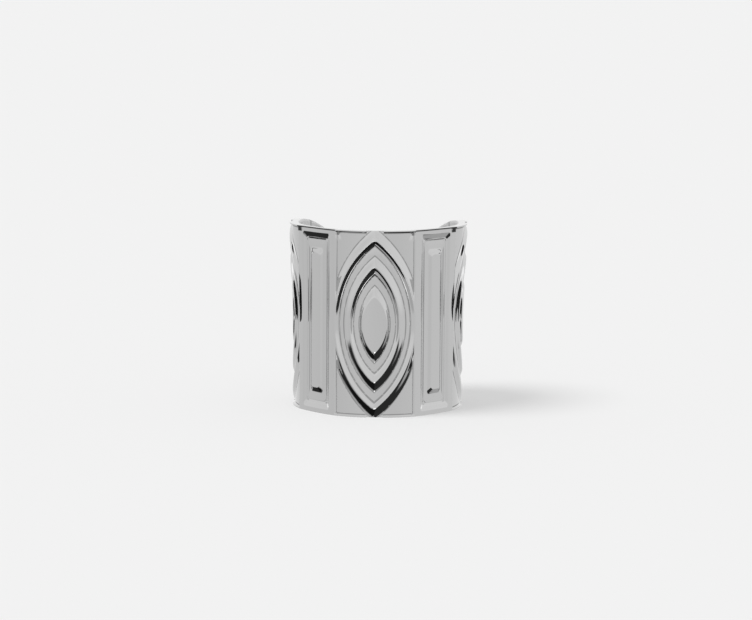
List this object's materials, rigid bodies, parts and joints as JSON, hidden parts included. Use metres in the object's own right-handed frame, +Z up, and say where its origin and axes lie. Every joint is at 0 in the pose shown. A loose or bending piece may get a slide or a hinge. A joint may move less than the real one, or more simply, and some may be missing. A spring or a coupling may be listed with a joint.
{
  "type": "adjustable ring",
  "caption": "Wide open-backed finger ring with pressed lens and bar relief and half-round ends, bent wider or tighter to fit.",
  "frame": {"origin": "on the axis of the finger hole, in the plane of the lower rim that the ring stands on", "axes": "+Z up the finger hole from the lower rim to the upper rim, -Y to the middle of the front panel, +Y to the open gap, +X to the right as seen from the front"},
  "size_m": [0.0204, 0.0194, 0.0212],
  "materials": {
    "polished_silver": "polished"
  },
  "bodies": {
    "root": {"band": "polished_silver"}
  },
  "joints": []
}
